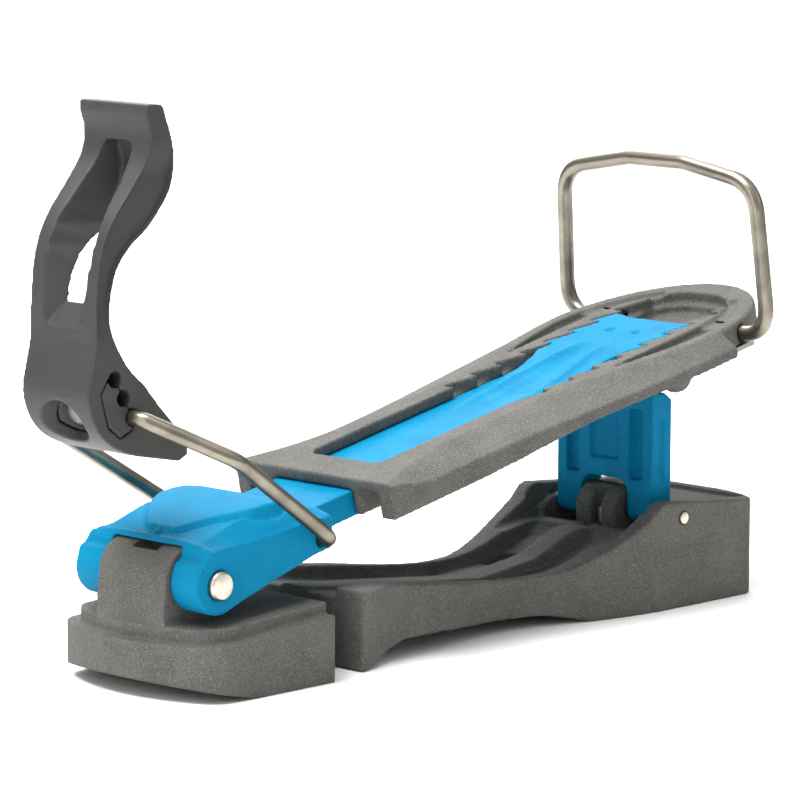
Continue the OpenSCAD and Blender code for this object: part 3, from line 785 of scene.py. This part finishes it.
@dataclass(frozen=True)
class Studio:
    """Pale floor, soft lamps and the camera.

    Attributes:
        azimuth: the camera's turn about the vertical, in degrees.
        elevation: how far the camera looks down, in degrees.
        roll: the camera's tilt, in degrees.
        lens: focal length in millimetres.
        place: the camera's place in metres.
        floor_half: half the floor's side in metres.
        floor_gap: drop of the floor below the soles, in millimetres.
        glow: strength of the surrounding light from below and from above.
    """

    azimuth: float = -45.81
    elevation: float = 8.54
    roll: float = 0.21
    lens: float = 202.6
    place: Triple = (-0.9165, -0.9937, 0.2913)
    floor_half: float = 6.0
    floor_gap: float = 0.05
    glow: tuple[float, float] = (0.16, 1.0)

    def build(self) -> None:
        """Sets the camera, the floor, the lamps and the surrounding light."""
        self.camera()
        self.floor()
        for lamp in LAMPS:
            lamp.build()
        self.surround()

    def camera(self) -> None:
        """Makes the scene's camera."""
        data = bpy.data.cameras.new("camera")
        data.lens = self.lens
        data.clip_end = 20.0
        data.dof.use_dof = False
        made = bpy.data.objects.new("camera", data)
        bpy.context.scene.collection.objects.link(made)
        a, e = math.radians(self.azimuth), math.radians(self.elevation)
        back = Vector((math.sin(a) * math.cos(e), -math.cos(a) * math.cos(e), math.sin(e)))
        made.rotation_mode = "QUATERNION"
        turn = (-back).to_track_quat("-Z", "Y")
        made.rotation_quaternion = turn @ Quaternion((0, 0, 1), math.radians(self.roll))
        made.location = self.place
        bpy.context.scene.camera = made

    def floor(self) -> None:
        """Makes a wide pale floor just under the soles."""
        half = self.floor_half
        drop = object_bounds()[0].z - self.floor_gap * MM
        mesh = bpy.data.meshes.new("floor")
        mesh.from_pydata([(-half, -half, drop), (half, -half, drop), (half, half, drop), (-half, half, drop)],
                         [], [(0, 1, 2, 3)])
        made = bpy.data.objects.new("floor", mesh)
        bpy.context.scene.collection.objects.link(made)
        material, tree, shader, coords = start_material("floor_paper", (0.0, 0.0, 0.0))
        tone = tree.mix(tree.noise(coords, 0.02, 3.0), (0.86, 0.86, 0.86, 1), (0.9, 0.9, 0.9, 1))
        tree.tree.links.new(tone, shader.inputs["Base Color"])
        shader.inputs["Roughness"].default_value = 0.9
        mesh.materials.append(material)
        made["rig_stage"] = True

    def surround(self) -> None:
        """Sets the white backdrop and the light from all round, dim below and bright above."""
        world = bpy.data.worlds.new("surround")
        world.use_nodes = True
        tree = ShaderTree(world.node_tree)
        world.node_tree.nodes.clear()
        coords = tree.add("ShaderNodeTexCoord")
        split = tree.add("ShaderNodeSeparateXYZ", {"Vector": coords.outputs["Generated"]})
        rise = tree.remap(split.outputs["Z"], -0.1, 0.9, *self.glow)
        light = tree.add("ShaderNodeBackground", {"Color": (1.0, 0.985, 0.96, 1), "Strength": rise})
        sheet = tree.add("ShaderNodeBackground", {"Color": (1.0, 1.0, 1.0, 1), "Strength": 1.0})
        path = tree.add("ShaderNodeLightPath")
        both = tree.add("ShaderNodeMixShader", {0: path.outputs["Is Camera Ray"],
                                                1: light.outputs["Background"],
                                                2: sheet.outputs["Background"]})
        tree.add("ShaderNodeOutputWorld", {"Surface": both.outputs["Shader"]})
        bpy.context.scene.world = world
        bpy.context.scene.view_settings.view_transform = "Standard"


# ---- The binding ----


@dataclass
class MouldedParts:
    """All moulded pieces, with their surface grids in millimetres."""

    fine: float = 0.5
    medium: float = 0.6
    wide: float = 0.75

    def build(self, materials: dict[Slot, bpy.types.Material]) -> None:
        """Builds the moulded pieces one by one."""
        for piece in (
            Moulding("toe_base", Slot.GREY, self.fine, 3, ToeRelief().sculpt),
            Moulding("heel_base", Slot.GREY, self.wide, 3, HeelRelief().sculpt),
            Moulding("tray", Slot.GREY, self.wide, 2, TrayRelief().sculpt),
            Moulding("toe_yoke", Slot.BLUE, self.medium, 3, YokeRelief().sculpt),
            Moulding("heel_riser", Slot.BLUE, self.fine, 3),
            Moulding("toe_lever", Slot.LEVER, self.fine, 4, LeverRelief().sculpt),
            Moulding("lever_clamp", Slot.LEVER, self.fine, 2),
        ):
            piece.build(materials)


@dataclass
class WireParts:
    """The two bails."""

    toe_radius: float = 2.44
    heel_radius: float = 2.63
    toe_half: float = 40.0
    lever_half: float = 15.0
    heel_half: float = 45.0
    heel_rise: float = 57.0
    heel_lean: float = math.radians(6.4)
    heel_crown_half: float = 12.0
    heel_leg_end: float = 19.3
    heel_bend: float = 13.0
    toe_leg_end: float = 16.6
    toe_leg_out: float = 32.6
    toe_bend: float = 7.0

    def build(self, materials: dict[Slot, bpy.types.Material]) -> None:
        """Builds both bails."""
        tree = wire_tree(materials[Slot.WIRE])
        w, h = self.heel_half, self.heel_rise
        BentWire("heel_bail", "heel_bail_pivot", self.heel_radius, self.heel_bend,
                 [(0, self.heel_leg_end), (0, w), (h - 5.5, w - 2.5), (h, self.heel_crown_half)],
                 (-math.sin(self.heel_lean), math.cos(self.heel_lean))).build(materials, tree)
        here, there = (next(j["pos_m"] for j in frame["joints"] if j["name"] == n)
                       for n in ("toe_bail_pivot", "lever_pivot"))
        run = Vector((there[0] - here[0], there[2] - here[2]))
        reach = run.length / MM
        BentWire("toe_bail", "toe_bail_pivot", self.toe_radius, self.toe_bend,
                 [(0, self.toe_leg_end), (0, self.toe_leg_out), (reach * 0.72, self.toe_half),
                  (reach, self.lever_half + 3.5), (reach, 0)],
                 tuple(run.normalized())).build(materials, tree)


@dataclass
class MetalParts:
    """Pins, plates and screws, with the widths of their chamfers in millimetres."""

    pin_edge: float = 0.25
    screw_edge: float = 0.12
    plate_edge: float = 0.15

    def build(self, materials: dict[Slot, bpy.types.Material]) -> None:
        """Builds the machined pieces."""
        for name in ("toe_pin", "riser_pin"):
            Machined(name, Slot.PIN, self.pin_edge).build(materials)
        for name in ("lever_bolt", "lever_nut", "cover_screws", "keeper_screws", "strap_screws",
                     "length_screw", "length_nut"):
            Machined(name, Slot.SCREW, self.screw_edge).build(materials)
        for name in ("rail_cover", "bail_keeper", "base_strap", "riser_spring"):
            Machined(name, Slot.PLATE, self.plate_edge).build(materials)


def main() -> None:
    """Builds the binding and its studio in order."""
    logging.basicConfig(level=logging.INFO, format="%(name)s: %(message)s")
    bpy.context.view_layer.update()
    effects = Effects()
    materials = {finish.slot: finish.build(effects) for finish in FINISHES}
    Studio().build()
    MouldedParts().build(materials)
    WireParts().build(materials)
    MetalParts().build(materials)


if __name__ == "__main__":
    main()
